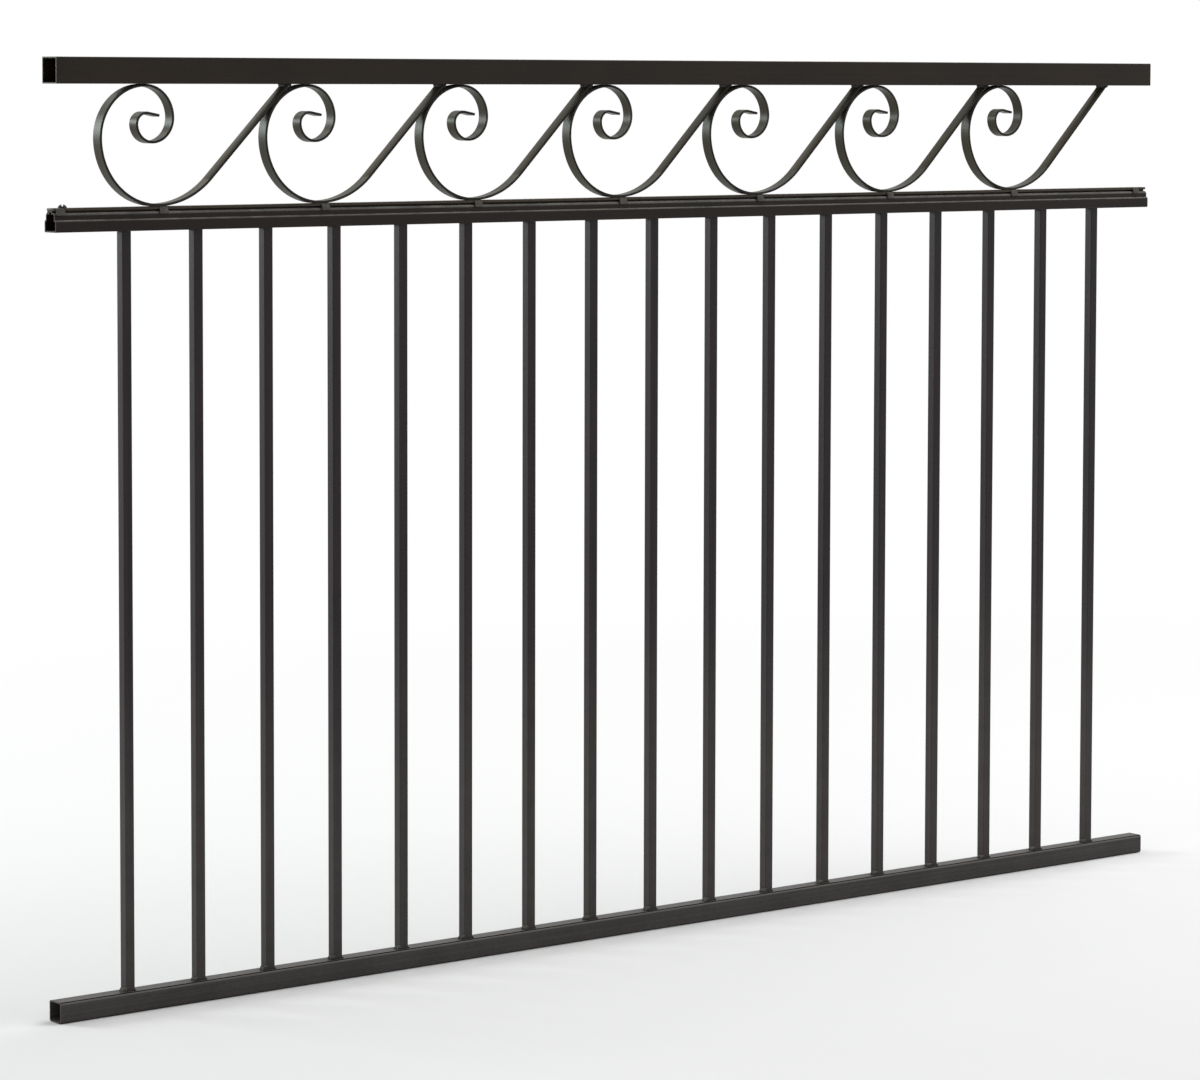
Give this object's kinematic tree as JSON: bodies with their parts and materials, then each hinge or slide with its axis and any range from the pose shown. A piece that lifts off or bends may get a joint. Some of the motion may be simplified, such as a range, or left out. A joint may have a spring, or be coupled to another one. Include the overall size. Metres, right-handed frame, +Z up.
{
  "type": "steel picket fence panel",
  "caption": "Black steel fence panel: square pickets between tube rails, with a row of running flat-bar scrolls under the top rail.",
  "frame": {"origin": "middle of the underside of the bottom rail", "axes": "+X along the panel, to the right seen from the front; +Y through it, to the back; +Z up"},
  "size_m": [1.8288, 0.0318, 1.1462],
  "materials": {
    "black_paint": "semi-gloss"
  },
  "bodies": {
    "root": {"bottom_rail": "black_paint", "picket_01": "black_paint", "picket_02": "black_paint", "picket_03": "black_paint", "picket_04": "black_paint", "picket_05": "black_paint", "picket_06": "black_paint", "picket_07": "black_paint", "picket_08": "black_paint", "picket_09": "black_paint", "picket_10": "black_paint", "picket_11": "black_paint", "picket_12": "black_paint", "picket_13": "black_paint", "picket_14": "black_paint", "picket_15": "black_paint", "picket_16": "black_paint", "picket_17": "black_paint", "middle_rail": "black_paint", "scroll_base_strip": "black_paint", "scroll_1": "black_paint", "scroll_2": "black_paint", "scroll_3": "black_paint", "scroll_4": "black_paint", "scroll_5": "black_paint", "scroll_6": "black_paint", "scroll_7": "black_paint", "top_rail": "black_paint"}
  },
  "joints": []
}
